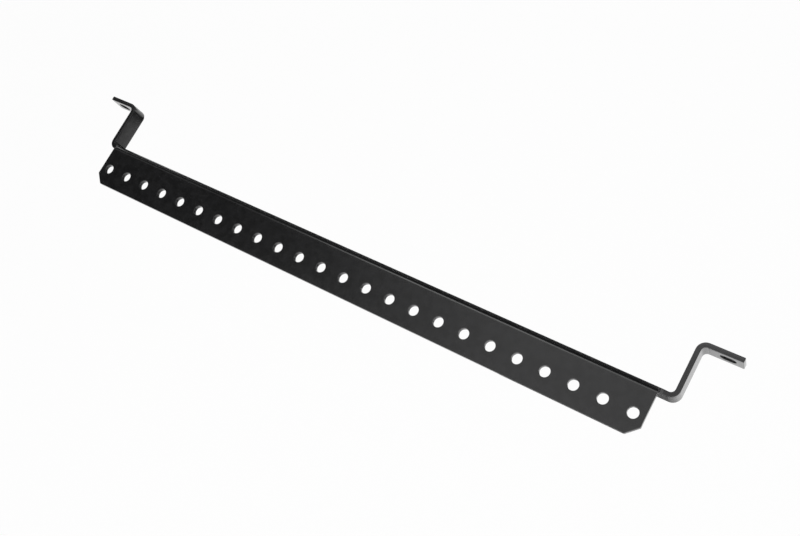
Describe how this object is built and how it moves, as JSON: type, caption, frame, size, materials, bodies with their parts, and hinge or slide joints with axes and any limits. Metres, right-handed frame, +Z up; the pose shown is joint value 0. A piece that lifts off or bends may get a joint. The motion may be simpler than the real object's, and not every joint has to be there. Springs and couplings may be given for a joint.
{
  "type": "cable management bar",
  "caption": "Folded steel bar for a 19-inch rack, with a perforated flange for cable ties and offset arms that end in slotted tabs for the rack rails.",
  "frame": {"origin": "midway between the two rack slots, on the face of the tabs that meets the rack rail", "axes": "+X along the bar, +Y from the bar towards the rack rail, +Z up, out of the perforated flange's upper face"},
  "size_m": [0.4826, 0.064, 0.0172],
  "materials": {
    "black_coat": "black satin powder coat on folded steel sheet"
  },
  "bodies": {
    "root": {"cable_bar": "black_coat"}
  },
  "joints": []
}
